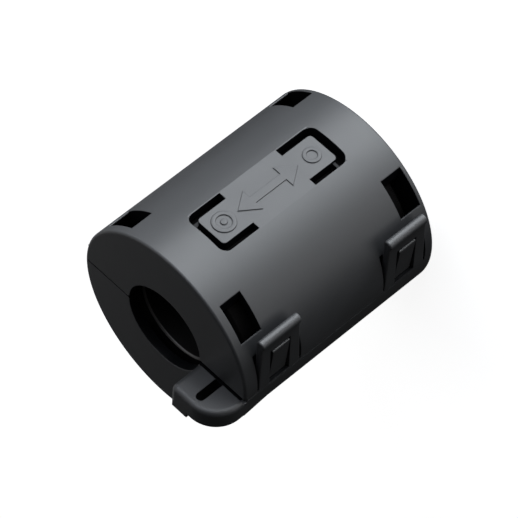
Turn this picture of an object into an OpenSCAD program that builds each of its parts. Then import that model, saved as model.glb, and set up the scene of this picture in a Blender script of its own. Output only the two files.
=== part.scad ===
// Clip-on ferrite bead for round cables: a hinged nylon case holds two half cores round the cable.
// Z runs along the cable, from the plain end (z = 0) to the end with the tie tab.
// Y points to the cover, X to the latches, and the case parts at y = 0.

/* [Case] */
// Outer diameter of the closed case
case_d = 30; // [28:0.5:38]
// Length of the case along the cable, without the tie tab
case_len = 34.4; // [32:0.2:60]
// Thickness of the round walls
wall = 1.6; // [1.4:0.1:2]
// Thickness of the end wall that carries the tie tab
end_wall_tab = 1.4; // [1.1:0.1:1.8]
// Thickness of the end wall at the plain end
end_wall_plain = 0.7; // [0.7:0.1:1.4]
// Rounding of the two outer rims
rim_r = 0.4; // [0.3:0.1:0.6]
// Diameter of the cable hole in the end walls
hole_d = 13.2; // [9:0.2:14]
// Gap between the closed shells
parting_gap = 0.1; // [0.05:0.05:0.2]

/* [Windows] */
// Angle of each window from the crown of its shell
window_angle = 43; // [40:1:46]
// Width of a window, across the case
window_w = 4.35; // [3:0.05:5]
// Length of a window, along the case
window_len = 3.5; // [2.4:0.1:4]

/* [Ferrite core] */
// Gap between the core and the round wall
core_side_gap = 0.45; // [0.3:0.05:0.7]
// Distance between the core and each end wall
core_end_gap = 1.2; // [0.8:0.1:2]
// How far the core's bore stands back behind the edge of the cable hole
core_bore_step = 0.05; // [0.05:0.05:0.3]
// Chamfer on the core's outer end edges
core_chamfer = 0.45; // [0.2:0.05:0.6]
// Chamfer at both ends of the core's bore
core_bore_chamfer = 0.25; // [0.1:0.05:0.5]
// Bevel along the outer edges of the ground faces
core_bevel = 0.8; // [0.6:0.1:1]

/* [Core seats] */
// Thickness of an end stop rib
stop_t = 1.2; // [0.8:0.1:1.6]
// Distance of the end stop ribs from the middle plane
stop_x = 4.2; // [3:0.1:5]
// How far the end stop ribs reach in from the round wall
stop_reach = 4; // [3:0.5:5]
// Play between the core and its end stops
core_play = 0.1; // [0.05:0.05:0.2]
// Length of a claw that holds the core in its shell
claw_len = 6; // [4:0.5:9]
// Gap between a claw and the core's bevel
claw_gap = 0.3; // [0.1:0.05:0.4]

/* [Spring tongues] */
// How far the flat panel lies under the crown
panel_drop = 0.49; // [0.3:0.01:0.55]
// Width over the two side slots of a tongue
slot_span = 7.3; // [6.4:0.1:8]
// Width of a side slot
slot_w = 1.12; // [0.8:0.02:1.3]
// Distance from the end wall to the cross slot
slot_inset = 5; // [4.6:0.1:6]
// Width of the cross slot
slot_gap = 1; // [0.7:0.05:1.2]
// Distance from the end wall to the end of the side slots
slot_reach = 11.1; // [10:0.1:12]
// Outer corner radius of the slot
slot_corner = 1.3; // [0.8:0.1:1.6]
// Corner radius of the tongue
tongue_corner = 0.6; // [0.3:0.1:1]
// Length of the press pad under a tongue
pad_len = 2; // [1:0.1:3]
// Gap between a press pad and the core
pad_gap = 0.05; // [0.03:0.01:0.1]
// Width of the thin web that ties one corner of each tongue to the shell
corner_web_w = 0.4; // [0.3:0.05:0.7]
// How far that web lies under the crown
corner_web_drop = 0.85; // [0.6:0.05:1]

/* [Latches] */
// Distance from the end wall to a latch arm
latch_inset = 1.05; // [0.8:0.05:2]
// Width of a latch arm at its foot
latch_w = 7.35; // [6.5:0.05:8]
// How much narrower the arm is at its top, each side
latch_taper = 0.25; // [0:0.05:0.5]
// Height of a latch arm over the parting plane
latch_h = 9.7; // [9:0.1:11]
// Thickness of a latch arm at its foot
latch_foot_t = 1; // [0.8:0.05:1.1]
// Thickness of a latch arm at its top
latch_top_t = 1.05; // [0.9:0.05:1.3]
// How far the arm's top leans towards the cover
latch_lean = 0.35; // [0.2:0.05:0.5]
// Radius of the rounded lip on the arm
lip_r = 0.55; // [0.3:0.05:0.55]
// How far the lip stands out of the arm
lip_out = 0.3; // [0.1:0.05:0.35]
// Width of the window in a latch arm
latch_window_w = 3.5; // [3:0.1:4]
// Height of the window's upper edge
latch_window_h = 6.75; // [6.5:0.05:7.5]
// Gap between a catch and the sides of its window
catch_side_gap = 0.3; // [0.2:0.05:0.6]
// Gap between a catch and the upper edge of its window
catch_top_gap = 0.15; // [0.1:0.05:0.6]
// Height of a catch's lower edge
catch_low = 0.1; // [0.05:0.05:0.5]
// How far a catch's face lies inside the case's radius
catch_in = 0.08; // [0.02:0.02:0.3]
// Depth of the ramp on which a catch pushes its arm out
catch_ramp_in = 0.35; // [0.35:0.05:0.5]
// Height of that ramp
catch_ramp_len = 1.3; // [1.2:0.1:2]
// Gap round a latch arm in its pocket
pocket_gap = 0.2; // [0.1:0.05:0.3]

/* [Film hinge] */
// Thickness of the hinge web
web_t = 0.4; // [0.3:0.05:0.6]
// Inner radius of the folded web
fold_r = 0.3; // [0.2:0.05:0.5]
// Distance of the fold's axis outside the case
fold_out = 0.5; // [0.4:0.05:0.8]
// How far the hinge ledges stand out of the case
ledge_out = 0.2; // [0.1:0.05:0.3]
// Distance from the case's ends to the hinge
hinge_inset = 1.6; // [1:0.1:4]

/* [Tie tab] */
// How far the tab stands out of the end
tab_len = 5.25; // [4.8:0.05:8]
// Thickness of the tab
tab_t = 3.1; // [2:0.1:4]
// How far the tab's face lies under the parting plane
tab_drop = 0.45; // [0.3:0.05:0.8]
// Gap between the cable hole and the tab
tab_hole_gap = 0.05; // [0.05:0.05:0.5]
// Width of the bar between the cable hole and the tie slot
tab_bar_w = 3.2; // [2.6:0.05:3.6]
// Radius of the tab's large corner
tab_round = 4.4; // [3.8:0.1:4.8]
// Radius of the tab's small corner
tab_corner = 1; // [0.9:0.1:1.4]
// Width of the groove between the tab's face and the cover
tab_groove_w = 0.3; // [0.2:0.05:0.5]
// Depth of that groove
tab_groove_d = 0.5; // [0.3:0.1:0.8]
// Rounding of the tab's upper edges
tab_edge_r = 0.8; // [0.3:0.1:0.9]
// Width of the tie slot
tie_slot_w = 1.25; // [0.8:0.05:1.4]
// Distance from the end wall to the tie slot
tie_slot_inset = 0.25; // [0.1:0.05:0.5]
// Material left between the tie slot and the tab's end
tie_slot_rest = 1.2; // [1:0.1:2]
// Depth of the lip under the bar that keeps the tie on
tie_lip = 0.9; // [0.3:0.1:1.2]
// Length of that lip
tie_lip_len = 1.5; // [1:0.1:2.5]

/* [Hidden] */
$fn = 96;
// How far a cut runs past the face it opens, and an added piece into its carrier
past = 0.5;
nylon = "#2b2d2f";
ferrite = "#4b4846";

case_r = case_d / 2;
inner_r = case_r - wall;
hole_r = hole_d / 2;
core_r = inner_r - core_side_gap;
core_bore_r = hole_r + core_bore_step;
// The closed room lies between the end walls' inner faces, and its fittings repeat at both ends of it
room_low = end_wall_plain;
room_high = case_len - end_wall_tab;
room_mid = (room_low + room_high) / 2;
window_x = case_r * sin(window_angle);

slot_half = slot_span / 2;
tongue_half = slot_half - slot_w;
tongue_inset = slot_inset + slot_gap;

// The arm's outer face starts at the case's radius and leans in towards its top
arm_foot_x = case_r - latch_foot_t;
arm_top_x = case_r - latch_lean;
arm_top_in_x = arm_top_x - latch_top_t;
pocket_foot_x = arm_foot_x - pocket_gap;
pocket_top_x = arm_top_in_x - pocket_gap;
latch_z = latch_inset + latch_w / 2;

fold_x = case_r + fold_out;
fold_y = -parting_gap / 2;
ledge_x = case_r + ledge_out;

tab_x = hole_r + tab_hole_gap;
tab_arc_x = case_r - tab_round;
tab_arc_z = tab_len - tab_round;

// Puts what is drawn inwards from z = 0 on the end wall at the plain end
module at_plain_end() {
    translate([0, 0, room_low]) children();
}

// The same on the end wall at the tab's end, mirrored
module at_tab_end() {
    translate([0, 0, room_high]) mirror([0, 0, 1]) children();
}

module both_ends() {
    at_plain_end() children();
    at_tab_end() children();
}

// Repeats what is drawn at +X on both sides of the middle plane
module both_sides() {
    for (side = [0, 1]) mirror([side, 0, 0]) children();
}

// Turns an outline in X and Z into a plate that fills y = low to high
module plate_y(low, high) {
    translate([0, high, 0]) rotate([90, 0, 0]) linear_extrude(high - low) children();
}

// A strip of half width half_w from z0 to z1 whose corners at z0 are round
module round_ended(half_w, z0, z1, r) {
    translate([-half_w, z0 + r]) square([2 * half_w, z1 - z0 - r]);
    translate([r - half_w, z0]) square([2 * (half_w - r), z1 - z0]);
    for (side = [-1, 1]) translate([side * (half_w - r), z0 + r]) circle(r);
}

// The closed case without its openings: a tube with end walls and rounded rims
module whole_case() {
    rotate_extrude() difference() {
        union() {
            square([case_r - rim_r, case_len]);
            translate([0, rim_r]) square([case_r, case_len - 2 * rim_r]);
            for (z = [rim_r, case_len - rim_r]) translate([case_r - rim_r, z]) circle(rim_r);
        }
        translate([-past, -past]) square([hole_r + past, case_len + 2 * past]);
        translate([-past, room_low]) square([inner_r + past, room_high - room_low]);
    }
}

// Ribs on the end walls that stop the core lengthwise
module core_stops(face) {
    stop_h = core_end_gap - core_play;
    both_ends() both_sides() intersection() {
        translate([stop_x - stop_t / 2, face, -past / 2]) cube([stop_t, case_r, stop_h + past / 2]);
        translate([0, 0, -past]) difference() {
            cylinder(r = inner_r + past / 2, h = core_end_gap + past);
            translate([0, 0, -past]) cylinder(r = inner_r - stop_reach, h = core_end_gap + 3 * past);
        }
    }
}

// Claws on the round wall that reach over the core's bevels
module core_claws(face) {
    tip_x = core_r - core_bevel + face + claw_gap;
    root_x = inner_r + past / 2;
    both_sides() translate([0, 0, room_mid - claw_len / 2]) linear_extrude(claw_len)
        polygon([[tip_x, face], [root_x, face], [root_x, face + root_x - tip_x]]);
}

module shell_windows() {
    low = sqrt(pow(inner_r, 2) - pow(window_x + window_w / 2, 2)) - past;
    both_ends() both_sides()
        translate([window_x - window_w / 2, low, 0]) cube([window_w, case_r, window_len]);
}

// A small ledge along the case that carries one edge of the hinge web
module hinge_ledge(face) {
    low = fold_r - web_t / 4 + face - parting_gap / 2;
    translate([-ledge_x, low, hinge_inset])
        cube([ledge_x - case_r + wall / 2, web_t * 1.5, case_len - 2 * hinge_inset]);
}

// Half of the case on the +Y side, whose parting face lies at y = face
module shell_half(face) {
    difference() {
        union() {
            intersection() {
                whole_case();
                translate([-case_d, face, -past]) cube([2 * case_d, case_d, case_len + 2 * past]);
            }
            core_stops(face);
            core_claws(face);
            hinge_ledge(face);
        }
        shell_windows();
    }
}

// The flat panel between the two cross slots
module panel_cut() {
    low = room_low + slot_inset + slot_gap / 2;
    translate([-case_r, case_r - panel_drop, low]) cube([case_d, case_r, 2 * (room_mid - low)]);
}

// The C-shaped slots that free a tongue at each end of the panel
module tongue_slots() {
    both_ends() plate_y(inner_r - wall, case_r + past) difference() {
        round_ended(slot_half, slot_inset, slot_reach, slot_corner);
        round_ended(tongue_half, tongue_inset, slot_reach + past, tongue_corner);
    }
}

// Thin webs that tie one corner of each tongue to the shell
module corner_webs() {
    top = case_r - corner_web_drop;
    low = top - wall / 2;
    side = tongue_corner / 6 - tongue_half;
    w = corner_web_w;
    // Across the cross slot at the tab's end, wider where it meets the shell
    at_tab_end() plate_y(low, top) polygon([
        [side, slot_inset - past / 2], [side + 2 * w, slot_inset - past / 2], [side + 2 * w, slot_inset],
        [side + w, tongue_inset], [side + w, tongue_inset + tongue_corner], [side, tongue_inset + tongue_corner]
    ]);
    // Across the side slot at the plain end
    at_plain_end() translate([tongue_half - past / 2, low, tongue_inset + tongue_corner])
        cube([slot_w + past, top - low, w]);
}

// Pads under the tongues that press the two core halves together
module press_pads() {
    both_ends() translate([-tongue_half * 0.75, core_r + pad_gap, tongue_inset + tongue_corner])
        cube([tongue_half * 1.5, wall / 2 + core_side_gap - pad_gap, pad_len]);
}

// Flat-floored pockets in which the latch arms lie
module latch_pockets() {
    width = latch_w + 2 * pocket_gap;
    slope = (pocket_foot_x - pocket_top_x) / latch_h;
    both_ends() translate([0, 0, latch_z - width / 2]) linear_extrude(width)
        polygon([
            [pocket_foot_x + slope * past, -past], [case_r + past, -past],
            [case_r + past, latch_h], [pocket_top_x, latch_h]
        ]);
}

// Catches on the pocket floors: a ramp pushes the arm out, then its window drops over the flat top
module catches() {
    high = latch_window_h - catch_top_gap;
    width = latch_window_w - 2 * catch_side_gap;
    slope = (pocket_foot_x - pocket_top_x) / latch_h;
    face_x = case_r - catch_in;
    both_ends() translate([0, 0, latch_z - width / 2]) linear_extrude(width)
        polygon([
            [pocket_foot_x - slope * catch_low - wall / 8, catch_low], [face_x - catch_ramp_in, catch_low],
            [face_x, catch_low + catch_ramp_len], [face_x, high],
            [pocket_foot_x - slope * high - wall / 8, high]
        ]);
}

module cover_shell() color(nylon) {
    difference() {
        union() {
            shell_half(0);
            press_pads();
        }
        panel_cut();
        tongue_slots();
        latch_pockets();
    }
    corner_webs();
    catches();
}

// Section of the tab out to its edge at x = reach, with the upper corner round
module tab_section(reach) {
    translate([0, -tab_t]) square([reach, tab_t - tab_edge_r]);
    translate([0, -tab_edge_r]) square([reach - tab_edge_r, tab_edge_r]);
    translate([reach - tab_edge_r, -tab_edge_r]) intersection() {
        circle(tab_edge_r);
        square(tab_edge_r);
    }
}

// A quarter turn of that section about Y, from X to Z (turn = 0) or from Z to -X (turn = 90)
module tab_turn(reach, turn) {
    rotate([90, 0, 0]) mirror([0, 0, 1]) rotate([0, 0, turn]) rotate_extrude(angle = 90) tab_section(reach);
}

// The tie tab: a plate with one large round corner, flat at its end, standing out of the end wall
module tie_tab() {
    inner_z = tab_len - tab_corner;
    translate([0, -tab_drop, case_len]) {
        // Large corner on the latch side
        translate([tab_arc_x, 0, tab_arc_z]) tab_turn(tab_round, 0);
        // Small corner beside the cable hole
        translate([tab_x + tab_corner, 0, inner_z]) tab_turn(tab_corner, 90);
        // Straight side below the large corner
        translate([tab_arc_x, 0, -end_wall_tab]) linear_extrude(end_wall_tab + tab_arc_z) tab_section(tab_round);
        // Straight side along the cable hole
        translate([tab_x + tab_corner, 0, -end_wall_tab]) mirror([1, 0, 0])
            linear_extrude(end_wall_tab + inner_z) tab_section(tab_corner);
        // Flat end between the two corners
        translate([tab_arc_x, 0, -end_wall_tab]) rotate([0, -90, 0])
            linear_extrude(tab_arc_x - tab_x - tab_corner) tab_section(tab_len + end_wall_tab);
        // Lip under the bar
        translate([tab_x + tab_corner / 2, -tab_t - tie_lip, tab_len - tie_lip_len])
            cube([tab_bar_w - tab_corner / 2, tie_lip + past, tie_lip_len]);
    }
}

// Slot for a cable tie, with a round outer end
module tie_slot() {
    mid_x = tab_x + tab_bar_w + tie_slot_w / 2;
    far_z = case_len + tab_len - tie_slot_rest - tie_slot_w / 2;
    near_z = case_len + tie_slot_inset;
    plate_y(-tab_t - tab_drop - tie_lip - past, past) {
        translate([mid_x - tie_slot_w / 2, near_z]) square([tie_slot_w, far_z - near_z]);
        translate([mid_x, far_z]) circle(tie_slot_w / 2);
    }
}

module base_shell() color(nylon) difference() {
    union() {
        mirror([0, 1, 0]) shell_half(parting_gap);
        tie_tab();
    }
    tie_slot();
    // The end wall behind the tab is as low as the groove along it
    translate([hole_r - past, -tab_drop - tab_groove_d, room_high])
        cube([case_r - wall / 2 - hole_r + past, case_r, end_wall_tab + tab_groove_w]);
}

// Section of a latch arm across the case, with a rounded lip at its top
module latch_section() {
    lip_x = arm_top_x + lip_out;
    lip_low = latch_h - 2 * lip_r;
    polygon([
        [arm_foot_x, -parting_gap], [case_r, -parting_gap],
        [arm_top_x, lip_low], [arm_top_in_x, lip_low]
    ]);
    for (x = [arm_top_in_x + lip_r, lip_x - lip_r]) translate([x, latch_h - lip_r]) circle(lip_r);
    translate([arm_top_in_x + lip_r, lip_low]) square([lip_x - arm_top_in_x - 2 * lip_r, 2 * lip_r]);
    translate([arm_top_in_x, lip_low]) square([arm_top_x - arm_top_in_x, lip_r]);
}

// A latch arm that rises from the base
module latch_arm() {
    half = latch_w / 2;
    top_half = half - latch_taper;
    difference() {
        intersection() {
            translate([0, 0, latch_inset]) linear_extrude(latch_w) latch_section();
            // Outline of the arm seen from the side of the case
            translate([hole_r, 0, latch_z]) rotate([0, 90, 0]) linear_extrude(case_r)
                polygon([[-half, -past], [half, -past], [top_half, latch_h + past], [-top_half, latch_h + past]]);
        }
        translate([hole_r, -past, latch_z - latch_window_w / 2])
            cube([case_r, latch_window_h + past, latch_window_w]);
    }
}

module latch_arm_plain_end() color(nylon) at_plain_end() latch_arm();

module latch_arm_tab_end() color(nylon) at_tab_end() latch_arm();

// The web that joins the two shells, folded double while the case is shut
module film_hinge() color(nylon) {
    leg = fold_x - ledge_x;
    outer_r = fold_r + web_t;
    translate([-fold_x, fold_y, hinge_inset]) linear_extrude(case_len - 2 * hinge_inset) difference() {
        union() {
            circle(outer_r);
            translate([0, -outer_r]) square([leg, 2 * outer_r]);
        }
        circle(fold_r);
        translate([0, -fold_r]) square([leg + past, 2 * fold_r]);
        // The legs end on the ledges
        translate([leg, -outer_r - past]) square([outer_r + past, 2 * (outer_r + past)]);
    }
}

// Half of the core on the +Y side, with chamfered ends and bevelled long edges
module ferrite_half() {
    low = room_low + core_end_gap;
    high = room_high - core_end_gap;
    c = core_chamfer;
    bore_c = core_bore_chamfer;
    difference() {
        intersection() {
            rotate_extrude() polygon([
                [core_bore_r + bore_c, low], [core_r - c, low], [core_r, low + c],
                [core_r, high - c], [core_r - c, high], [core_bore_r + bore_c, high],
                [core_bore_r, high - bore_c], [core_bore_r, low + bore_c]
            ]);
            translate([-case_r, 0, 0]) cube([case_d, case_r, case_len]);
        }
        both_sides() linear_extrude(case_len) polygon([
            [core_r - core_bevel - past, -past], [core_r + past, -past], [core_r + past, core_bevel + past]
        ]);
    }
}

module ferrite_half_upper() color(ferrite) ferrite_half();

module ferrite_half_lower() color(ferrite) mirror([0, 1, 0]) ferrite_half();

base_shell();
cover_shell();
film_hinge();
latch_arm_tab_end();
latch_arm_plain_end();
ferrite_half_lower();
ferrite_half_upper();
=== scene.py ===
# %% [markdown]
# # A clip-on ferrite bead, modelled and lit
#
# The object is a black nylon case that snaps round a cable and holds two half rings of ferrite
# against it. The imported part gives the frame: where every solid sits, and which of them move.
# It could be rendered as it is, but its edges are razor sharp and its meshes are loose triangles,
# so this lesson models the visible pieces again with Blender's own tools, and hangs the shells and
# the half cores on the bodies that carry them.

# %% Load the fixed frame
import math
from collections import Counter

import bmesh
import bpy
from mathutils import Matrix, Vector


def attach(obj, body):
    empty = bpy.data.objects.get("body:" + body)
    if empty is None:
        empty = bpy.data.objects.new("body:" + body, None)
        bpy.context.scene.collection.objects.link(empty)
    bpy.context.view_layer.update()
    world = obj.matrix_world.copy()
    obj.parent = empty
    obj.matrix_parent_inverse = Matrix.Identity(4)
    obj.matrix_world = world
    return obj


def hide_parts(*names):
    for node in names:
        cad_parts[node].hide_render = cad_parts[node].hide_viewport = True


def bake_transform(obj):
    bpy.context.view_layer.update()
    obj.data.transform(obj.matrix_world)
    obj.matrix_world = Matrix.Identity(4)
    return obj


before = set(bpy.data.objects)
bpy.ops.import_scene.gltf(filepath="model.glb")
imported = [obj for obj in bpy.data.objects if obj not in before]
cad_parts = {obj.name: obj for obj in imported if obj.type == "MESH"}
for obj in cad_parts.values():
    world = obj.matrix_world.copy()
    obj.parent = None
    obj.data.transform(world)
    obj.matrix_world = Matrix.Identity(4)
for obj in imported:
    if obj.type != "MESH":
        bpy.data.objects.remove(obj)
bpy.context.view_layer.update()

# %% [markdown]
# ## Working at a thousand times the size
#
# The bead is three centimetres across, and Blender's bevel and boolean tools have fixed limits
# that suit things of about a metre. One unit is therefore one millimetre while a piece is made,
# and `true_size` shrinks the finished mesh to metres. The object itself stays at the origin,
# unturned and unscaled.

# %% Helpers for choosing what an operator acts on
MM = 0.001


def only(obj):
    """Selects one object and nothing else: an operator acts on everything that is selected."""
    bpy.ops.object.select_all(action="DESELECT")
    obj.select_set(True)
    bpy.context.view_layer.objects.active = obj


def edit(obj):
    """Opens a mesh for editing with all of its vertices selected."""
    only(obj)
    bpy.ops.object.mode_set(mode="EDIT")
    bpy.context.tool_settings.mesh_select_mode = (True, False, False)
    bpy.ops.mesh.select_all(action="SELECT")


def leave():
    bpy.ops.object.mode_set(mode="OBJECT")


def pick(obj, kind, wanted):
    """In edit mode, selects the verts, edges or faces for which wanted(element) is true."""
    mode = tuple(kind == k for k in ("verts", "edges", "faces"))
    bpy.context.tool_settings.mesh_select_mode = mode
    mesh = bmesh.from_edit_mesh(obj.data)
    for element in [*mesh.verts, *mesh.edges, *mesh.faces]:
        element.select = False
    chosen = [element for element in getattr(mesh, kind) if wanted(element)]
    for element in chosen:
        element.select_set(True)
    mesh.select_flush_mode()
    bmesh.update_edit_mesh(obj.data)
    return len(chosen)


def middle(edge):
    return (edge.verts[0].co + edge.verts[1].co) / 2


def corner_angle(edge):
    """Degrees by which the surface turns at an edge, or 0 at a bent-in one."""
    if len(edge.link_faces) != 2 or not edge.is_convex:
        return 0
    return math.degrees(edge.calc_face_angle(0))


# %% [markdown]
# ## Starting shapes
#
# A modeller at the screen starts most pieces in one of two ways: with a cube set to its place and
# size, or with one vertex drawn out into an outline that is then extruded or spun. These helpers
# do the same, and `carve` stands for the boolean modifier with its clean-up.

# %% Helpers that start and combine shapes
def block(name, low, high):
    """A cube primitive between two corners."""
    bpy.ops.object.select_all(action="DESELECT")
    low, high = Vector(low), Vector(high)
    bpy.ops.mesh.primitive_cube_add(size=1, location=(low + high) / 2, scale=high - low)
    obj = bpy.context.active_object
    obj.name = name
    bpy.ops.object.transform_apply(location=True, rotation=True, scale=True)
    return obj


def draw_outline(name, points):
    """Draws a closed outline: a plane is merged to one vertex, which is extruded along."""
    bpy.ops.object.select_all(action="DESELECT")
    bpy.ops.mesh.primitive_plane_add(size=1, location=(0, 0, 0))
    obj = bpy.context.active_object
    obj.name = name
    edit(obj)
    bpy.ops.mesh.merge(type="CENTER")
    bpy.ops.transform.translate(value=points[0])
    for start, end in zip(points, points[1:]):
        step = Vector(end) - Vector(start)
        bpy.ops.mesh.extrude_region_move(TRANSFORM_OT_translate={"value": step})
    pick(obj, "verts", lambda v: len(v.link_edges) == 1)
    bpy.ops.mesh.edge_face_add()
    bpy.ops.mesh.select_all(action="SELECT")
    return obj


def raise_outline(obj, step):
    """Fills the selected outline and pulls it up into a solid."""
    bpy.ops.mesh.edge_face_add()
    bpy.ops.mesh.extrude_region_move(TRANSFORM_OT_translate={"value": step})
    point_outwards(obj)
    return obj


def point_outwards(obj):
    """Ends the edit with every face of a closed mesh turned outwards."""
    bpy.ops.mesh.select_all(action="SELECT")
    bpy.ops.mesh.normals_make_consistent(inside=False)
    leave()


def copy_of(obj, name):
    only(obj)
    bpy.ops.object.duplicate()
    twin = bpy.context.active_object
    twin.name = name
    return twin


def mirrored(obj, axis, about=0.0):
    """A mirrored copy. A mirror turns its faces inside out, so they are turned back."""
    twin = copy_of(obj, obj.name + "_mirrored")
    flip, shift = Vector((1, 1, 1)), Vector((0, 0, 0))
    flip[axis], shift[axis] = -1, 2 * about
    twin.data.transform(Matrix.Translation(shift) @ Matrix.Diagonal((*flip, 1)))
    edit(twin)
    point_outwards(twin)
    return twin


def join(*objs):
    bpy.ops.object.select_all(action="DESELECT")
    for obj in objs:
        obj.select_set(True)
    bpy.context.view_layer.objects.active = objs[0]
    bpy.ops.object.join()
    return objs[0]


def carve(obj, tool, how="DIFFERENCE"):
    """Cuts the tool out of obj (or adds it with UNION), then welds what the cut left behind."""
    only(obj)
    cut = obj.modifiers.new("cut", "BOOLEAN")
    cut.object, cut.operation, cut.solver = tool, how, "EXACT"
    bpy.ops.object.modifier_apply(modifier=cut.name)
    bpy.data.objects.remove(tool)
    edit(obj)
    bpy.ops.mesh.remove_doubles(threshold=0.002)
    bpy.ops.mesh.dissolve_degenerate(threshold=0.001)
    leave()


def soften(obj, wanted, width, segments=2):
    """Rounds the chosen edges. Without it a moulded part looks cut from paper."""
    edit(obj)
    count = pick(obj, "edges", wanted)
    bpy.ops.mesh.bevel(
        offset=width, segments=segments, affect="EDGES", clamp_overlap=False, loop_slide=True
    )
    leave()
    return count


def tell(obj):
    """Prints how large a mesh is, and how many edges lack a face on one side: a solid has none."""
    mesh = obj.data
    faces_at = Counter(key for face in mesh.polygons for key in face.edge_keys)
    open_edges = sum(count != 2 for count in faces_at.values())
    print(f"{obj.name}: {len(mesh.vertices)} vertices, {len(mesh.polygons)} faces,"
          f" {open_edges} open edges")


# %% [markdown]
# ## The case as one lathed shell
#
# Both halves of the real case come from moulds that close into one tube with two end walls. It
# could be built from two cylinders and a boolean, but a section that is drawn once and spun gives
# even strips all round, and its corners can be rounded while they are still flat points. 192
# steps keep the strips under half a millimetre wide. The wall that carries the tie tab is the
# thicker one, so everything that repeats at both ends is mirrored about the middle of the room
# between the walls, which lies a little off the middle of the case.

# %% Lathe the whole case
CASE_R, CASE_LEN, WALL, HOLE_R = 15.0, 34.4, 1.6, 6.6
PLAIN_END_WALL, TAB_END_WALL = 0.7, 1.4
RIM_ROUND, HOLE_ROUND = 0.4, 0.1
INNER_R = CASE_R - WALL
ROOM_LOW, ROOM_HIGH = PLAIN_END_WALL, CASE_LEN - TAB_END_WALL
ROOM_MID = (ROOM_LOW + ROOM_HIGH) / 2

case = draw_outline("case_lathe", [
    (HOLE_R, 0, 0), (CASE_R, 0, 0), (CASE_R, 0, CASE_LEN), (HOLE_R, 0, CASE_LEN),
    (HOLE_R, 0, ROOM_HIGH), (INNER_R, 0, ROOM_HIGH), (INNER_R, 0, ROOM_LOW), (HOLE_R, 0, ROOM_LOW),
])
pick(case, "verts", lambda v: v.co.x > CASE_R - 0.1)
bpy.ops.mesh.bevel(offset=RIM_ROUND, segments=6, affect="VERTICES")
pick(case, "verts", lambda v: v.co.x < HOLE_R + 0.1 and not 0.1 < v.co.z < CASE_LEN - 0.1)
bpy.ops.mesh.bevel(offset=HOLE_ROUND, segments=3, affect="VERTICES")
bpy.ops.mesh.select_all(action="SELECT")
bpy.ops.mesh.spin(
    steps=192, angle=math.tau, center=(0, 0, 0), axis=(0, 0, 1), use_auto_merge=True
)
bpy.ops.mesh.select_all(action="SELECT")
bpy.ops.mesh.remove_doubles(threshold=0.0001)
point_outwards(case)
tell(case)

# %% [markdown]
# ## Two shells
#
# The case parts along its middle. A bisect cuts the tube and closes the cut in one step. The
# cover keeps everything above the parting plane, and the base starts a tenth of a millimetre
# under it, which is the gap that shows as a fine line on the end of the closed bead. The latches
# pull the two shells together on their own side, so the outer edges stay sharp there and a low
# rib on the base closes the gap.

# %% Part the shells
PARTING_GAP = 0.1
PARTING_ROUND = 0.07
NOTCH_X, NOTCH_Y = 0.4, 0.3


def half_case(name, y, keep_upper):
    """Keeps the tube on one side of the plane at height y, as one closed shell."""
    shell = copy_of(case, name)
    edit(shell)
    bpy.ops.mesh.bisect(
        plane_co=(0, y, 0), plane_no=(0, 1, 0), use_fill=True,
        clear_inner=keep_upper, clear_outer=not keep_upper,
    )
    leave()
    soften(shell, lambda e: corner_angle(e) > 20 and abs(middle(e).y - y) < 0.001
           and middle(e).x < CASE_R - 0.01, PARTING_ROUND)
    # Where the parting line meets the hole, the corners are broken more, to spare the cable
    notch = draw_outline("notch", [
        (HOLE_R - NOTCH_X, 0, -1), (HOLE_R, NOTCH_Y, -1),
        (HOLE_R + NOTCH_X, 0, -1), (HOLE_R, -NOTCH_Y, -1),
    ])
    raise_outline(notch, (0, 0, CASE_LEN + 2))
    carve(shell, join(notch, mirrored(notch, 0)))
    return shell


cover = half_case("cover_shell_moulded", 0, True)
base = half_case("base_shell_moulded", -PARTING_GAP, False)
tell(cover)
tell(base)

# %% [markdown]
# ## Core windows
#
# Beside each end wall a window breaks through the round wall on either side of both shells. The
# mould's cores pass here to shape the stops behind the end walls, and the ferrite can be seen
# through them. One cutter is made and mirrored, so all eight are alike.

# %% Cut the windows
WINDOW_X = CASE_R * math.sin(math.radians(43))
WINDOW_INNER, WINDOW_OUTER = WINDOW_X - 2.175, WINDOW_X + 1.86
WINDOW_LOW, WINDOW_HIGH = ROOM_LOW + 0.02, ROOM_LOW + 3.5
WINDOW_DEPTH_Y = 4.6


def both_ends(obj):
    return join(obj, mirrored(obj, 2, ROOM_MID))


def both_sides(obj):
    return join(obj, mirrored(obj, 0))


for shell, sign in ((cover, 1), (base, -1)):
    low, high = sorted((sign * WINDOW_DEPTH_Y, sign * (CASE_R + 1)))
    window = block("window", (WINDOW_INNER, low, WINDOW_LOW), (WINDOW_OUTER, high, WINDOW_HIGH))
    carve(shell, both_ends(both_sides(window)))

    # The window's lower edge would be as thin as a knife, so its tip is cut off
    tip_y = math.sqrt(CASE_R ** 2 - WINDOW_OUTER ** 2)
    blunt = draw_outline("blunt", [
        (WINDOW_OUTER + x, sign * (tip_y + y), WINDOW_LOW)
        for x, y in ((-0.1, -0.39), (0, -0.39), (0.22, -0.325), (0.6, 0.5), (-0.1, 0.5))
    ])
    raise_outline(blunt, (0, 0, WINDOW_HIGH - WINDOW_LOW))
    carve(shell, both_ends(both_sides(blunt)))
    tell(shell)

# %% [markdown]
# ## The flat panel and its spring tongues
#
# The cover's crown is planed down to a flat panel, and a C-shaped slot at each end of it frees a
# tongue that presses the two half cores together. The slot is a rounded block less a smaller
# rounded block, just as the steel in the mould is.

# %% Cut the panel and the slots
SLOT_HALF, TONGUE_HALF = 3.65, 2.53
SLOT_Z, TONGUE_Z, SLOT_END = ROOM_LOW + 5.0, ROOM_LOW + 6.0, ROOM_LOW + 11.1
SLOT_ROUND, TONGUE_ROUND = 1.3, 0.6
PANEL_Y = CASE_R - 0.49
PANEL_Z = SLOT_Z + 0.5

carve(cover, block(
    "panel", (-CASE_R, PANEL_Y, PANEL_Z), (CASE_R, CASE_R + 1, 2 * ROOM_MID - PANEL_Z)
))


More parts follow.
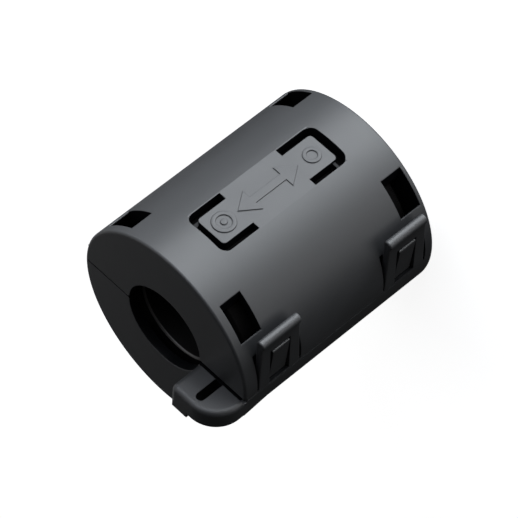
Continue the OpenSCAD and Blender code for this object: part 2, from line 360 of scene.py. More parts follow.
def round_corners(obj, z, radius, segments):
    """Rounds the two upright corners of a block that lie at height z."""
    def upright(edge):
        a, b = (v.co for v in edge.verts)
        return abs(a.z - z) < 0.01 and abs(b.z - z) < 0.01 and abs(a.y - b.y) > 1
    return soften(obj, upright, radius, segments)


slot = block("slot", (-SLOT_HALF, 11, SLOT_Z), (SLOT_HALF, CASE_R + 1, SLOT_END))
round_corners(slot, SLOT_Z, SLOT_ROUND, 10)
tongue = block("tongue", (-TONGUE_HALF, 10, TONGUE_Z), (TONGUE_HALF, CASE_R + 2, SLOT_END + 1))
round_corners(tongue, TONGUE_Z, TONGUE_ROUND, 6)
carve(slot, tongue)
carve(cover, both_ends(slot))
tell(cover)

# %% [markdown]
# ## Pockets for the latch arms
#
# The base's two latch arms lie in flat-floored pockets of the cover, sunk so far that the arms
# are flush with the round wall at the bottom. The pocket's floor leans in a little towards its
# top, like the arm, and runs out where it meets the round wall.

# %% Sink the pockets
ARM_HALF, ARM_H = 3.675, 9.7
ARM_Z = ROOM_LOW + 1.05 + ARM_HALF
POCKET_GAP = 0.2
POCKET_Z = ARM_Z - ARM_HALF - POCKET_GAP
POCKET_FLOOR_LOW, POCKET_FLOOR_HIGH = 13.82, 13.4

pocket = draw_outline("pocket", [
    (POCKET_FLOOR_LOW, -0.5, POCKET_Z), (CASE_R + 1, -0.5, POCKET_Z),
    (CASE_R + 1, ARM_H, POCKET_Z), (POCKET_FLOOR_HIGH, ARM_H, POCKET_Z),
])
raise_outline(pocket, (0, 0, 2 * (ARM_HALF + POCKET_GAP)))
carve(cover, both_ends(pocket))
tell(cover)

# %% [markdown]
# ## The tie tab
#
# A plate stands out of one end of the base. It carries a slot for a cable tie, and one of its
# corners follows the case's own curve. The plate is an outline whose two corners are rounded
# while it is flat, then pulled down to its thickness. Its upper rim gets a wide round, and a low
# lip under its inner corner keeps the tie from slipping off.

# %% Model the tab and join it to the base
TAB_X, TAB_TOP, TAB_Z = 6.65, -0.45, CASE_LEN + 5.25
TAB_T = 3.1
TAB_FOOT = CASE_LEN - 0.7
TAB_OUTER_ROUND, TAB_INNER_ROUND, TAB_EDGE_ROUND = 4.4, 1.0, 0.8
LIP_DROP, LIP_LEN = 0.9, 1.5
TIE_X, TIE_W, TIE_END = TAB_X + 3.2, 1.25, TAB_Z - 1.2

tab = draw_outline("tab", [
    (TAB_X, TAB_TOP, TAB_FOOT), (TAB_X, TAB_TOP, TAB_Z),
    (CASE_R, TAB_TOP, TAB_Z), (CASE_R, TAB_TOP, TAB_FOOT),
])
pick(tab, "verts", lambda v: v.co.z > TAB_Z - 0.1 and v.co.x > 10)
bpy.ops.mesh.bevel(offset=TAB_OUTER_ROUND, segments=24, affect="VERTICES")
pick(tab, "verts", lambda v: v.co.z > TAB_Z - 0.1 and v.co.x < TAB_X + 0.1)
bpy.ops.mesh.bevel(offset=TAB_INNER_ROUND, segments=8, affect="VERTICES")
bpy.ops.mesh.select_all(action="SELECT")
raise_outline(tab, (0, -TAB_T, 0))
soften(tab, lambda e: corner_angle(e) > 30 and abs(middle(e).y - TAB_TOP) < 0.01
       and middle(e).z > TAB_FOOT + 0.1, TAB_EDGE_ROUND, 6)
lip = block("lip", (TAB_X + 0.5, TAB_TOP - TAB_T - LIP_DROP, TAB_Z - LIP_LEN), (TIE_X, -3, TAB_Z))
carve(tab, lip, "UNION")
carve(base, tab, "UNION")
tell(base)

# %% [markdown]
# ## How the tab runs into the case
#
# At its outer corner the tab is flush with the case, and the round wall swells towards it by a
# third of a millimetre, so that the two run into each other. Beside the tab's face the end wall
# is cut down to a narrow groove, which shows as a dark line, and the slot for the tie opens into
# that groove. All of it is made of blocks and one outline, as before.

# %% Swell the wall and cut the tie slot and the groove
SWELL_LOW, SWELL_HIGH = 22, CASE_LEN - 0.1
SWELL_TOP, SWELL_DROP, SWELL_ROUND = -0.3, 3.6, 0.35
GROOVE_TURN = 14.2
TIE_ROUND = 0.62

swell = draw_outline("swell", [
    (13.0, SWELL_TOP, SWELL_LOW), (14.3, SWELL_TOP, SWELL_LOW),
    (14.99, SWELL_TOP, SWELL_HIGH), (13.0, SWELL_TOP, SWELL_HIGH),
])
raise_outline(swell, (0, -SWELL_DROP, 0))


def lower_outer_edge(edge):
    m = middle(edge)
    return m.x > 14 and m.y < -3.8 and abs(m.z - 28) < 2


soften(swell, lower_outer_edge, SWELL_ROUND, 6)
carve(base, swell, "UNION")

tie_slot = block("tie_slot", (TIE_X, -6, CASE_LEN + 0.02), (TIE_X + TIE_W, 0.5, TIE_END))
round_corners(tie_slot, TIE_END, TIE_ROUND, 6)
carve(base, tie_slot)
for low, high_x in (
    ((HOLE_R - 0.5, TAB_TOP - 0.5, ROOM_HIGH - 0.01), GROOVE_TURN),
    ((GROOVE_TURN - 0.1, TAB_TOP - 0.35, CASE_LEN - 0.5), CASE_R + 0.5),
):
    carve(base, block("groove", low, (high_x, 1, CASE_LEN + 0.14)))
tell(base)

# %% [markdown]
# ## Rounded rims
#
# Every outer edge of a moulding is a little round, and it is this fine rounding that draws a
# bright line round each window and slot. One bevel could take all sharp edges at once, but it
# would also run where two surfaces meet without room for it, so the edges are chosen by place.

# %% Round the rims of what was cut
RIM_WIDTH = 0.1


def radius_at(point):
    return math.hypot(point.x, point.y)


def cover_rim(edge):
    m = middle(edge)
    at_panel = m.y > PANEL_Y - 0.1
    # The panel runs out into the round wall just beside the slots, with no room for a rounding
    runs_out = at_panel and SLOT_HALF + 0.01 < abs(m.x) < SLOT_HALF + 0.25
    from_panel_end = abs(m.z - ROOM_MID) - (ROOM_MID - PANEL_Z)
    low_step = at_panel and abs(m.x) > 3.3 and abs(from_panel_end) < 0.02
    on_outside = m.y > 0.3 and radius_at(m) > CASE_R - 1
    return corner_angle(edge) > 20 and on_outside and not (runs_out or low_step)


def base_rim(edge):
    m = middle(edge)
    on_outside = m.z > CASE_LEN + 0.05 or radius_at(m) > CASE_R - 1
    return corner_angle(edge) > 25 and on_outside and m.y < TAB_TOP + 0.05


print("rims of the cover:", soften(cover, cover_rim, RIM_WIDTH))
print("rims of the base:", soften(base, base_rim, RIM_WIDTH))

# %% [markdown]
# ## Small forms inside the shells
#
# These show when the cover is open: ribs on the end walls that stop the core, claws that hold it
# in its shell, and a ledge along each shell for the hinge web. They are plain blocks on the real
# part too, because the mould needs draft and nothing else. They are added after the outside has
# been rounded, so that the rounding can't reach them.

# %% Add the stops, the claws and the hinge ledges
HINGE_LOW, HINGE_HIGH = 1.6, CASE_LEN - 1.6
CLAW_TIP, CLAW_ROOT, CLAW_LEN = 12.45, 13.65, 6
CLAW_Z = ROOM_MID - CLAW_LEN / 2


def inner_forms(sign, face):
    """The inner forms of one shell. sign is +1 for the cover and -1 for the base."""
    def spot(name, x, y, z):
        ys = sorted(sign * v for v in y)
        return block(name, (x[0], ys[0], z[0]), (x[1], ys[1], z[1]))

    stop = both_ends(both_sides(spot("stop", (3.6, 4.8), (8.4, 12.9), (0.6, ROOM_LOW + 1.1))))
    tip, top = CLAW_TIP + face, face + 0.01
    claw = draw_outline("claw", [
        (tip, sign * top, CLAW_Z), (CLAW_ROOT, sign * top, CLAW_Z),
        (CLAW_ROOT, sign * (top + CLAW_ROOT - tip), CLAW_Z),
    ])
    claw = both_sides(raise_outline(claw, (0, 0, CLAW_LEN)))
    ledge = spot("ledge", (-15.2, -14.2), (0.15 + face, 0.75 + face), (HINGE_LOW, HINGE_HIGH))
    soften(ledge, lambda e: middle(e).x < -15.15, 0.08)
    return stop, claw, ledge


for shell, sign, face in ((cover, 1, 0), (base, -1, PARTING_GAP)):
    for form in inner_forms(sign, face):
        carve(shell, form, "UNION")
carve(base, block(
    "parting_rib", (INNER_R + 0.3, -0.3, 0.5), (CASE_R - 0.01, -0.005, CASE_LEN - 0.5)
), "UNION")
tell(base)

# %% [markdown]
# ## What each tongue carries
#
# Under each tongue a pad presses on the core. At one corner of each tongue a thin web is left in
# the slot, which keeps the tongue from being bent too far. The webs are seen through the slots as
# small grey bridges. One of them is stepped, so it is drawn as an outline.

# %% Add the pads and the corner webs
PAD_HALF, PAD_Z, PAD_LEN = 1.9, TONGUE_Z + 0.6, 2.0
WEB_TOP, WEB_T, WEB_W = 14.15, 0.8, 0.4

pad = block("pad", (-PAD_HALF, 13.0, PAD_Z), (PAD_HALF, 14.2, PAD_Z + PAD_LEN))
carve(cover, both_ends(pad), "UNION")

near = 2 * ROOM_MID - SLOT_Z
side = 0.1 - TONGUE_HALF
corner_web = draw_outline("corner_web", [
    (side + x, WEB_TOP, near + z)
    for x, z in ((0, 0.25), (2 * WEB_W, 0.25), (2 * WEB_W, 0), (WEB_W, -1), (WEB_W, -1.6), (0, -1.6))
])
carve(cover, raise_outline(corner_web, (0, -WEB_T, 0)), "UNION")
carve(cover, block(
    "corner_web", (TONGUE_HALF - 0.25, WEB_TOP - WEB_T, PAD_Z),
    (SLOT_HALF + 0.25, WEB_TOP, PAD_Z + WEB_W),
), "UNION")
tell(cover)

# %% [markdown]
# ## Catches
#
# Each latch arm has a window that snaps over a catch on the pocket's floor. A catch is a wedge:
# its ramp pushes the arm out while the cover closes, and its flat top holds the arm's window. The
# wedge is a drawn section, pulled out to its width, with its top edge rounded by a wide bevel.

# %% Add the catches to the cover
CATCH_HALF = 1.45

catch = draw_outline("catch", [
    (x, y, ARM_Z - CATCH_HALF)
    for x, y in ((13.59, 0.1), (14.57, 0.1), (14.92, 6.1), (14.92, 6.6), (13.33, 6.6))
])
raise_outline(catch, (0, 0, 2 * CATCH_HALF))
soften(catch, lambda e: middle(e).x > 14.9 and middle(e).y > 6.5, 0.22, 6)
soften(catch, lambda e: corner_angle(e) > 40 and middle(e).x > 14.5 and 0.2 < middle(e).y < 6, 0.06)
carve(cover, both_ends(catch), "UNION")
tell(cover)

# %% [markdown]
# ## A plain sign on the panel
#
# Such panels carry raised marks. These are generic ones: a double arrow that says which way the
# cable runs, a ring with a dot in it, which is the bead and its cable seen end on, and a smaller
# ring on the other tongue. They are raised by 0.15 mm with softened tops, so that only their
# edges catch the light. Each is a solid of its own first, and is then joined to the panel.

# %% Raise the marks
SIGN_FOOT = PANEL_Y - 0.05
SIGN_STEP = (0, 0.2, 0)


def disc(name, z, outer, hole=0.0):
    bpy.ops.object.select_all(action="DESELECT")
    bpy.ops.mesh.primitive_circle_add(
        vertices=48, radius=outer, fill_type="NGON",
        location=(0, SIGN_FOOT, z), rotation=(math.radians(90), 0, 0),
    )
    obj = bpy.context.active_object
    obj.name = name
    bpy.ops.object.transform_apply(location=True, rotation=True, scale=True)
    edit(obj)
    if hole:
        bpy.ops.mesh.inset(thickness=outer - hole)
        bpy.ops.mesh.delete(type="FACE")
        bpy.ops.mesh.select_all(action="SELECT")
    bpy.ops.mesh.extrude_region_move(TRANSFORM_OT_translate={"value": SIGN_STEP})
    point_outwards(obj)
    return obj


def double_arrow(z0, z1, head, half_head, half_shaft):
    right = [
        (0, z0), (half_head, z0 + head), (half_shaft, z0 + head),
        (half_shaft, z1 - head), (half_head, z1 - head), (0, z1),
    ]
    left = [(-x, z) for x, z in reversed(right[1:-1])]
    obj = draw_outline("double_arrow", [(x, SIGN_FOOT, z) for x, z in right + left])
    return raise_outline(obj, SIGN_STEP)


for mark in (
    double_arrow(11.4, 22.2, head=2.7, half_head=1.9, half_shaft=0.6),
    disc("ring", z=24.6, outer=1.7, hole=1.05), disc("dot", z=24.6, outer=0.5),
    disc("small_ring", z=8.9, outer=1.3, hole=0.7),
):
    soften(mark, lambda e: corner_angle(e) > 30 and middle(e).y > SIGN_FOOT + 0.1, 0.1, 3)
    carve(cover, mark, "UNION")
tell(cover)

# %% [markdown]
# ## The latch arms
#
# An arm is a thin leaf of nylon that grows out of the base, with a window for the catch and a
# rounded lip at its top to lift it by. Its section is drawn and extruded, it is narrowed towards
# the top, and the window is cut through it. The arm's foot reaches a millimetre down into the
# base's wall, where the two are one piece on the real part. Bisect adds cross lines, because the
# arm has to bend when it is lifted, and a mesh can only bend where it has vertices.

# %% Model one arm and mirror it for the other end
LIP_R, BACK_R = 0.75, 0.55
ARM_TAPER = 0.25
ARM_WINDOW_HALF, ARM_WINDOW_TOP = 1.75, 6.75


def arc(x, y, r, start, end, steps):
    """Points on an arc about (x, y), with its angles in degrees."""
    turns = [math.radians(start + (end - start) * i / steps) for i in range(steps + 1)]
    return [(x + r * math.cos(a), y + r * math.sin(a)) for a in turns]


def latch_arm():
    low = ARM_Z - ARM_HALF
    section = [(14.0, -1.1), (14.95, -1.1), (CASE_R, -PARTING_GAP), (14.67, 8.2)]
    section += arc(14.95 - LIP_R, ARM_H - LIP_R, LIP_R, -52, 90, 14)
    section += arc(14.15, ARM_H - BACK_R, BACK_R, 90, 180, 6)
    arm = draw_outline("latch_arm", [(x, y, low) for x, y in section])
    raise_outline(arm, (0, 0, 2 * ARM_HALF))
    edit(arm)
    pick(arm, "verts", lambda v: v.co.y > 8)
    bpy.ops.transform.resize(
        value=(1, 1, 1 - ARM_TAPER / ARM_HALF), center_override=(0, 0, ARM_Z)
    )
    leave()
    # The outline has wide rounds that a thumb can slide over, and the window only broken edges
    soften(arm, lambda e: corner_angle(e) > 40 and middle(e).y > 0, 0.25, 4)
    carve(arm, block(
        "arm_window", (10, -2, ARM_Z - ARM_WINDOW_HALF), (16, ARM_WINDOW_TOP, ARM_Z + ARM_WINDOW_HALF)
    ))
    soften(arm, lambda e: corner_angle(e) > 60 and abs(middle(e).z - ARM_Z) < ARM_WINDOW_HALF + 0.05
           and 0 < middle(e).y < 7 and middle(e).x > 14.3, 0.08)
    edit(arm)
    for y in (0.4, 1.2, 2.0, 2.8, 3.6, 4.4, 5.2):
        bpy.ops.mesh.select_all(action="SELECT")
        bpy.ops.mesh.bisect(plane_co=(0, y, 0), plane_no=(0, 1, 0))
    leave()
    return arm


arm_plain_end = latch_arm()
arm_plain_end.name = "latch_arm_plain_end_moulded"
arm_tab_end = mirrored(arm_plain_end, 2, ROOM_MID)
arm_tab_end.name = "latch_arm_tab_end_moulded"
tell(arm_plain_end)

# %% [markdown]
# ## The film hinge
#
# A web of 0.4 mm joins the shells on the far side from the latches. It is moulded flat with the
# bead open, and folds double when the bead shuts. One edge strip of it is pulled out of the
# cover's ledge, spun half a turn round the fold's axis, and pulled into the base's ledge.

# %% Spin the web
FOLD = Vector((-15.5, -PARTING_GAP / 2, 0))
FOLD_R, FILM_T = 0.3, 0.4
LEDGE_X = -15.1
near_side, far_side = FOLD.y + FOLD_R, FOLD.y + FOLD_R + FILM_T

web = draw_outline("film_hinge_web", [
    (LEDGE_X, near_side, HINGE_LOW), (LEDGE_X, far_side, HINGE_LOW),
    (LEDGE_X, far_side, HINGE_HIGH), (LEDGE_X, near_side, HINGE_HIGH),
])
bpy.ops.mesh.edge_face_add()
bpy.ops.mesh.extrude_region_move(TRANSFORM_OT_translate={"value": (FOLD.x - LEDGE_X, 0, 0)})
bpy.ops.mesh.spin(steps=20, angle=math.pi, center=FOLD, axis=(0, 0, -1))
bpy.ops.mesh.extrude_region_move(TRANSFORM_OT_translate={"value": (LEDGE_X - FOLD.x, 0, 0)})
point_outwards(web)
tell(web)

# %% [markdown]
# ## The ferrite core
#
# The core is pressed from ferrite powder, fired, and split into two half rings whose flat faces
# are ground so that they meet without a gap. The section with its chamfered ends is spun half a
# turn, the flat faces are closed, and two slanting cuts make the bevels along their outer edges.

# %% Spin one half and mirror it
CORE_R, CORE_BORE_R = 12.95, 6.65
CORE_LOW, CORE_HIGH = ROOM_LOW + 1.2, ROOM_HIGH - 1.2
CHAMFER, BORE_CHAMFER = 0.45, 0.25
LONG_BEVEL = 0.8


def half_core():
    core = draw_outline("half_core", [
        (CORE_BORE_R + BORE_CHAMFER, 0, CORE_LOW), (CORE_R - CHAMFER, 0, CORE_LOW),
        (CORE_R, 0, CORE_LOW + CHAMFER), (CORE_R, 0, CORE_HIGH - CHAMFER),
        (CORE_R - CHAMFER, 0, CORE_HIGH), (CORE_BORE_R + BORE_CHAMFER, 0, CORE_HIGH),
        (CORE_BORE_R, 0, CORE_HIGH - BORE_CHAMFER), (CORE_BORE_R, 0, CORE_LOW + BORE_CHAMFER),
    ])
    bpy.ops.mesh.spin(steps=96, angle=math.pi, center=(0, 0, 0), axis=(0, 0, -1))
    for side in (-1, 1):
        pick(core, "edges", lambda e: e.is_boundary and middle(e).x * side > 1)
        bpy.ops.mesh.edge_face_add()
    point_outwards(core)
    edit(core)
    for side in (-1, 1):
        bpy.ops.mesh.select_all(action="SELECT")
        bpy.ops.mesh.bisect(
            plane_co=(side * (CORE_R - LONG_BEVEL), 0, 0), plane_no=(side, -1, 0),
            use_fill=True, clear_outer=True,
        )
    point_outwards(core)
    soften(core, lambda e: corner_angle(e) > 30, 0.07)
    return core


core_upper = half_core()
core_upper.name = "ferrite_half_upper_fired"
core_lower = mirrored(core_upper, 1)
core_lower.name = "ferrite_half_lower_fired"
tell(core_upper)

# %% [markdown]
# ## Smooth shading that knows the true surface
#
# Smooth shading averages the directions of neighbouring faces, and beside a cut those faces differ
# in size, so a highlight would wobble there. Weighting by area keeps flat faces flat, and on the
# round wall the true direction is known: it points straight away from the axis. It is written
# over the average wherever the two nearly agree.

# %% Shrink to true size and shade
CORNER_DEGREES = 31


def true_size(obj):
    """Leaves the mesh in metres, smooth except at its corners, with flat faces kept flat."""
    only(obj)
    obj.scale = (MM, MM, MM)
    bpy.ops.object.transform_apply(location=True, rotation=True, scale=True)
    bpy.ops.object.shade_smooth_by_angle(angle=math.radians(CORNER_DEGREES))
    even = obj.modifiers.new("flat faces stay flat", "WEIGHTED_NORMAL")
    even.keep_sharp = True
    bpy.ops.object.modifier_apply(modifier=even.name)


def true_round_wall(obj):
    mesh = obj.data
    normals = [Vector(corner.vector) for corner in mesh.corner_normals]
    changed = 0
    for face in mesh.polygons:
        for i in face.loop_indices:
            spot = mesh.vertices[mesh.loops[i].vertex_index].co
            away = Vector((spot.x, spot.y, 0))
            on_wall = abs(away.length - CASE_R * MM) < 0.003 * MM
            away.normalize()
            if on_wall and face.normal.dot(away) > 0.9995:
                normals[i] = away
                changed += 1
    mesh.normals_split_custom_set(normals)
    return changed


bpy.data.objects.remove(case)
pieces = (cover, base, arm_plain_end, arm_tab_end, web, core_upper, core_lower)
for piece in pieces:
    true_size(piece)
print("corners set on the round wall:", true_round_wall(cover), true_round_wall(base))

# %% [markdown]
# ## What each piece rides on
#
# A rigid piece rides on one body: each shell and its half core is attached to its body. The web
# and the latch arms are one moulding with their neighbours. Here they only have their placing
# baked into their meshes, and the parts that they replace are hidden.

# %% Hand the shells and cores to their bodies
for piece, body, node in (
    (cover, "cover", "cover_shell"), (base, "base", "base_shell"),
    (core_upper, "cover", "ferrite_half_upper"), (core_lower, "base", "ferrite_half_lower"),
):
    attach(piece, body)
    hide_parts(node)

for arm, body, node in (
    (arm_tab_end, "latch_tab_end", "latch_arm_tab_end"),
    (arm_plain_end, "latch_plain_end", "latch_arm_plain_end"),
):
    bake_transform(arm)
    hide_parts(node)

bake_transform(web)
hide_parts("film_hinge")
print("pieces:", [piece.name for piece in pieces])

# %% [markdown]
# ## Materials as node trees
#
# One helper adds a node with its settings and links, and one turns the familiar hex colours into
# the linear values that the renderer works with.

# %% Helpers for materials
def linear(code):
    """The linear RGBA of an sRGB colour such as #2c2e30."""
    channels = [int(code[i:i + 2], 16) / 255 for i in (1, 3, 5)]
    return tuple(
        c / 12.92 if c <= 0.04045 else ((c + 0.055) / 1.055) ** 2.4 for c in channels
    ) + (1.0,)


def add_node(tree, kind, settings=None, links=None):
    """Adds a node. A setting is a property, or an input's value by name or number."""
    node = tree.nodes.new(kind)
    for key, value in (settings or {}).items():
        if isinstance(key, str) and hasattr(node, key):
            setattr(node, key, value)
        else:
            node.inputs[key].default_value = value
    for key, output in (links or {}).items():
        tree.links.new(output, node.inputs[key])
    return node


def new_material(name):
    material = bpy.data.materials.new(name)
    material.use_nodes = True
    material.node_tree.nodes.clear()
    return material, material.node_tree


def per_mm(size):
    """A pattern's scale for a real size in millimetres, on Object coordinates in metres."""
    return 1000 / size


# %% [markdown]
# ## Moulded nylon
#
# The case is nylon 66 coloured near black with carbon. The mould is spark eroded, which gives the
# surface a fine even grain that scatters its sheen into a broad soft highlight. Seen close, the
# sheen also drifts a little where the melt flowed and cooled. The real grain is about 0.05 mm and
# would vanish in the render, so it is drawn at 0.2 mm.

# %% Moulded nylon
nylon, tree = new_material("moulded_nylon")
place = add_node(tree, "ShaderNodeTexCoord")
grain = add_node(
    tree, "ShaderNodeTexNoise", {"Scale": per_mm(0.2), "Detail": 2.0, "Roughness": 0.6},
    {"Vector": place.outputs["Object"]},
)
flow = add_node(
    tree, "ShaderNodeTexNoise", {"Scale": per_mm(7), "Detail": 2.0, "Distortion": 0.8},
    {"Vector": place.outputs["Object"]},
)
tone = add_node(
    tree, "ShaderNodeMix", {"data_type": "RGBA", 6: linear("#242628"), 7: linear("#2a2b2e")},
    {"Factor": flow.outputs["Fac"]},
)
sheen = add_node(
    tree, "ShaderNodeMapRange", {"To Min": 0.48, "To Max": 0.57}, {"Value": flow.outputs["Fac"]}
)
relief = add_node(
    tree, "ShaderNodeBump", {"Strength": 0.35, "Distance": 0.01 * MM},
    {"Height": grain.outputs["Fac"]},
)
plastic = add_node(
    tree, "ShaderNodeBsdfPrincipled", {"IOR": 1.55, "Specular IOR Level": 1.0},
    {
        "Base Color": tone.outputs[2], "Roughness": sheen.outputs["Result"],
        "Normal": relief.outputs["Normal"],
    },
)
add_node(tree, "ShaderNodeOutputMaterial", None, {"Surface": plastic.outputs["BSDF"]})
print(f"{nylon.name}: {len(tree.nodes)} nodes")

# %% [markdown]
# ## Nylon off polished steel, painted dark as shade
#
# The slots, the windows and the inside of the shells are shaped by cores of polished steel, which
# have to slide out of the part. Their faces come out smooth, with a tighter sheen than the eroded
# outside. Their colour is painted near black: painted shade for the deep slots, windows and gaps,
# which the light hardly reaches. It is the same nylon otherwise.

# %% Polished nylon, painted dark as shade
smooth_nylon, tree = new_material("nylon_painted_dark_as_recess_shade")
place = add_node(tree, "ShaderNodeTexCoord")
flow = add_node(
    tree, "ShaderNodeTexNoise", {"Scale": per_mm(4), "Detail": 2.0, "Distortion": 0.5},
    {"Vector": place.outputs["Object"]},
)
# Painted shade: this near black stands for the shade deep in slots, windows and gaps
tone = add_node(
    tree, "ShaderNodeMix", {"data_type": "RGBA", 6: linear("#08090b"), 7: linear("#0c0d10")},
    {"Factor": flow.outputs["Fac"]},
)
sheen = add_node(
    tree, "ShaderNodeMapRange", {"To Min": 0.3, "To Max": 0.38}, {"Value": flow.outputs["Fac"]}
)
plastic = add_node(
    tree, "ShaderNodeBsdfPrincipled", {"IOR": 1.53, "Specular IOR Level": 0.15},
    {"Base Color": tone.outputs[2], "Roughness": sheen.outputs["Result"]},
)
add_node(tree, "ShaderNodeOutputMaterial", None, {"Surface": plastic.outputs["BSDF"]})
print(f"{smooth_nylon.name}: {len(tree.nodes)} nodes")

# %% [markdown]
# ## Telling the outside finish from the painted shade
#
# A face belongs to the outside if its middle lies on the skin: the round wall, the end faces, the
# panel with its marks, or the tab. What lies deeper came off a core of the mould, and gets the
# nylon painted dark as shade. The faces along the parting line count as inside, because light
# hardly reaches into a gap of a tenth of a millimetre. A loop over the faces sorts them by the
# place of their middles.

# %% Give each face its finish or its painted shade
def on_skin(point):
    """Whether a point, in millimetres, lies on the outside of the closed case."""
    x, y, z = point
    radius = radius_at(point)
    on_parting = -0.2 < y < 0.08 and x < INNER_R + 0.2 and z < CASE_LEN + 0.05
    in_tie_slot = (
        TIE_X - 0.01 < x < TIE_X + TIE_W + 0.01 and TAB_TOP - TAB_T + 0.1 < y < TAB_TOP - 0.15
        and CASE_LEN - 0.01 < z < TIE_END + 0.1
    )
    if on_parting or in_tie_slot:
        return False
    if z > CASE_LEN + 0.05:
        in_groove = z < CASE_LEN + 0.16 and -1 < y < TAB_TOP - 0.05
        return not in_groove
    on_panel = y > PANEL_Y - 0.08 and abs(x) < 4
    on_wall = radius > CASE_R - (0.12 if y > -5 else 0.1)
    on_end = min(z, CASE_LEN - z) < 0.12 and radius > HOLE_R + 0.02
    on_swell = x > 13.2 and -4 < y < SWELL_TOP and z > SWELL_LOW
    return on_panel or on_wall or on_end or on_swell


for piece in (cover, base, arm_tab_end, arm_plain_end, web):
    piece.data.materials.clear()
    piece.data.materials.append(nylon)
for shell in (cover, base):
    shell.data.materials.append(smooth_nylon)
    for face in shell.data.polygons:
        # Index 1 is the nylon painted dark as shade
        face.material_index = 0 if on_skin(face.center / MM) else 1
    inside = sum(face.material_index for face in shell.data.polygons)
    print(f"{shell.name}: {inside} of {len(shell.data.polygons)} faces came off a core")

# %% [markdown]
# ## Ferrite as it leaves the kiln
#
# Ferrite is a dense, nearly black ceramic. The outside of the halves keeps its skin from the
# kiln, which is dull and full of fine pits, so it hardly reflects. Its colour is painted darker
# than ferrite's own, as painted shade, so that the core looks black through the windows and slots.
# The pits are cells of a Voronoi pattern, 0.5 mm across, which is coarser than the real ones.

# %% Fired skin, painted darker as shade
fired, tree = new_material("ferrite_fired_skin_painted_dark_as_shade")
place = add_node(tree, "ShaderNodeTexCoord")
pits = add_node(
    tree, "ShaderNodeTexVoronoi", {"Scale": per_mm(0.5)}, {"Vector": place.outputs["Object"]}
)
# Painted shade: both tones lie below ferrite's own dark grey, to keep the windows black
tone = add_node(
    tree, "ShaderNodeMix", {"data_type": "RGBA", 6: linear("#060505"), 7: linear("#0b0a0a")},
    {"Factor": pits.outputs["Distance"]},
)
relief = add_node(
    tree, "ShaderNodeBump", {"Strength": 0.6, "Distance": 0.02 * MM},
    {"Height": pits.outputs["Distance"]},
)
ceramic = add_node(
    tree, "ShaderNodeBsdfPrincipled", {"IOR": 1.9, "Roughness": 0.8, "Specular IOR Level": 0.04},
    {"Base Color": tone.outputs[2], "Normal": relief.outputs["Normal"]},
)
add_node(tree, "ShaderNodeOutputMaterial", None, {"Surface": ceramic.outputs["BSDF"]})
print(f"{fired.name}: {len(tree.nodes)} nodes")

# %% [markdown]
# ## Ground and tumbled faces
#
# The flat faces are ground so that the halves meet without a gap, and the bore is reamed. That
# lays the grain of the ceramic open, a shade paler, and gives it the dull sheen of slate. Last,
# the halves are tumbled with grit so that their edges don't chip. The edge round the bore is the
# palest part: tumbling makes it a little paler, and the rest is a painted highlight for the light
# that it catches in the hole.

# %% Ground faces, and tumbled edges painted pale as a highlight
def worked_ferrite(name, dark, light, roughness, level):
    material, tree = new_material(name)
    place = add_node(tree, "ShaderNodeTexCoord")
    grain = add_node(
        tree, "ShaderNodeTexNoise", {"Scale": per_mm(0.35), "Detail": 4.0, "Roughness": 0.65},
        {"Vector": place.outputs["Object"]},
    )
    tone = add_node(
        tree, "ShaderNodeMix", {"data_type": "RGBA", 6: linear(dark), 7: linear(light)},
        {"Factor": grain.outputs["Fac"]},
    )
    ceramic = add_node(
        tree, "ShaderNodeBsdfPrincipled",
        {"IOR": 1.9, "Roughness": roughness, "Specular IOR Level": level},
        {"Base Color": tone.outputs[2]},
    )
    add_node(tree, "ShaderNodeOutputMaterial", None, {"Surface": ceramic.outputs["BSDF"]})
    return material


ground = worked_ferrite("ferrite_ground_face", "#0e0d0d", "#1a1817", 0.5, 0.14)
# Painted highlight: the bore's edge is far paler than tumbling alone would leave it
painted_highlight_edge = worked_ferrite("ferrite_bore_edge_painted_highlight", "#3a3837", "#474543", 0.4, 0.45)
FINISHES = [fired, ground, painted_highlight_edge]

for piece in (core_upper, core_lower):
    piece.data.materials.clear()
    for material in FINISHES:
        piece.data.materials.append(material)
    for face in piece.data.polygons:
        spot = face.center / MM
        flat = abs(face.normal.y) > 0.99 and abs(spot.y) < 0.1
        in_bore = radius_at(spot) < CORE_BORE_R + 0.3
        # The edge round the bore gets the painted highlight
        edge = in_bore and not flat and abs(face.normal.z) > 0.3
        face.material_index = FINISHES.index(painted_highlight_edge if edge else ground if flat or in_bore else fired)
    shares = Counter(FINISHES[face.material_index].name for face in piece.data.polygons)
    print(f"{piece.name}: faces by finish {dict(shares)}")

# %% [markdown]
# ## White paper
#
# The bead stands on white paper without an edge. Real paper needs strong light to come out white,
# and that light would wash out black plastic. So the paper glows by itself, but only for rays
# from the camera, and the light that falls on it adds the last tenth, which is where the bead's
# shadow shows. The bead's own rays pass through it, so it throws no light on the case.

# %% Floor
bpy.ops.object.select_all(action="DESELECT")
bpy.ops.mesh.primitive_plane_add(size=6, location=(0, 0, -0.02 * MM))
floor = bpy.context.active_object
floor.name = "floor"
floor.visible_glossy = floor.visible_diffuse = floor.visible_shadow = False
paper, tree = new_material("white_paper_floor")
ray = add_node(tree, "ShaderNodeLightPath")
shade = add_node(tree, "ShaderNodeBsdfDiffuse", {"Color": linear("#f2f2f2")})
share = add_node(
    tree, "ShaderNodeMath", {"operation": "MULTIPLY", 1: 0.9}, {0: ray.outputs["Is Camera Ray"]}
)
glow = add_node(tree, "ShaderNodeEmission", None, {"Strength": share.outputs[0]})
both = add_node(tree, "ShaderNodeAddShader")
tree.links.new(shade.outputs[0], both.inputs[0])
tree.links.new(glow.outputs[0], both.inputs[1])
add_node(tree, "ShaderNodeOutputMaterial", None, {"Surface": both.outputs[0]})
floor.data.materials.append(paper)
print("floor:", [round(side, 2) for side in floor.dimensions[:2]], "m")

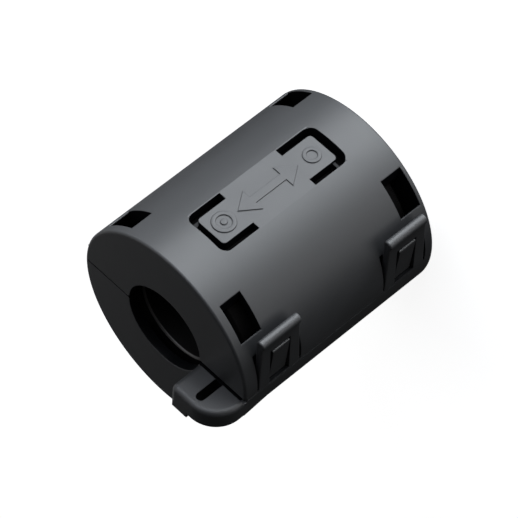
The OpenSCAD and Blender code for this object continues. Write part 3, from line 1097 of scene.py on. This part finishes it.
# %% [markdown]
# ## Light for a black object
#
# Black plastic shows its form by what it mirrors far more than by its colour. Square softboxes
# all round give each side a broad reflection that fades along the curve: the key and the top
# light the crown, and the others are weak and only keep the dark sides readable. The lamps are
# set by the radiance of their faces, because that is what the plastic mirrors, and a lamp can
# then be made larger or smaller without growing brighter.

# %% Light
CENTRE = Vector((0, 0, CASE_LEN / 2 * MM))
REACH = 0.45


def softbox(name, towards, half_angle, radiance, tint="#ffffff"):
    """A square lamp that faces the bead and fills twice the half angle, in degrees, seen from it.
    Its power follows from the radiance that it should have."""
    side = 2 * REACH * math.tan(math.radians(half_angle))
    lamp = bpy.data.lights.new(name, "AREA")
    lamp.shape, lamp.size = "SQUARE", side
    lamp.energy = radiance * math.pi * side * side
    lamp.color = linear(tint)[:3]
    obj = bpy.data.objects.new(name, lamp)
    bpy.context.scene.collection.objects.link(obj)
    away = Vector(towards).normalized()
    obj.location = CENTRE + REACH * away
    obj.rotation_mode = "QUATERNION"
    obj.rotation_quaternion = away.to_track_quat("Z", "Y")
    return obj


softbox("key_softbox", (-0.15, 0.82, -0.56), 28, 4.2, "#f5faff")
softbox("top_softbox", (-0.2, 0.93, 0.3), 22, 1.75, "#f0f5ff")
softbox("left_softbox", (-0.95, 0.28, -0.1), 22, 1.0, "#f5faff")
softbox("right_softbox", (0.72, 0.5, -0.45), 25, 0.85)
softbox("front_softbox", (-0.62, 0.25, 0.74), 20, 0.62)
softbox("under_softbox", (-0.8, -0.58, 0.1), 25, 0.4)

world = bpy.data.worlds.new("studio")
bpy.context.scene.world = world
world.use_nodes = True
tree = world.node_tree
tree.nodes.clear()
ray = add_node(tree, "ShaderNodeLightPath")
fill = add_node(tree, "ShaderNodeBackground", {"Color": linear("#ffffff"), "Strength": 0.02})
white = add_node(tree, "ShaderNodeBackground", {"Color": linear("#ffffff"), "Strength": 1.0})
seen = add_node(tree, "ShaderNodeMixShader", None, {"Fac": ray.outputs["Is Camera Ray"]})
tree.links.new(fill.outputs[0], seen.inputs[1])
tree.links.new(white.outputs[0], seen.inputs[2])
add_node(tree, "ShaderNodeOutputWorld", None, {"Surface": seen.outputs[0]})
bpy.context.scene.view_settings.view_transform = "Standard"

# %% [markdown]
# ## Camera
#
# A long lens from about half a metre away keeps the case's long edges nearly parallel, as in a
# parts catalogue. The directions to the camera's right, up and back are written as unit vectors.
# They are at right angles to each other, so they can stand as the columns of its rotation.

# %% Camera
RIGHT = Vector((0.6957, 0.0521, -0.7165))
UP = Vector((-0.6114, 0.5666, -0.5524))
BACK = Vector((0.3772, 0.8223, 0.4260))
camera = bpy.data.objects.new("camera", bpy.data.cameras.new("camera"))
bpy.context.scene.collection.objects.link(camera)
bpy.context.scene.camera = camera
camera.data.lens, camera.data.sensor_width = 237.35, 36
camera.data.clip_start, camera.data.clip_end = 0.01, 20
turn = Matrix((RIGHT, UP, BACK)).transposed().to_4x4()
turn.translation = Vector((169.14, 367.84, 208.31)) * MM
camera.matrix_world = turn
print("camera to bead:", round((turn.translation - CENTRE).length, 3), "m")
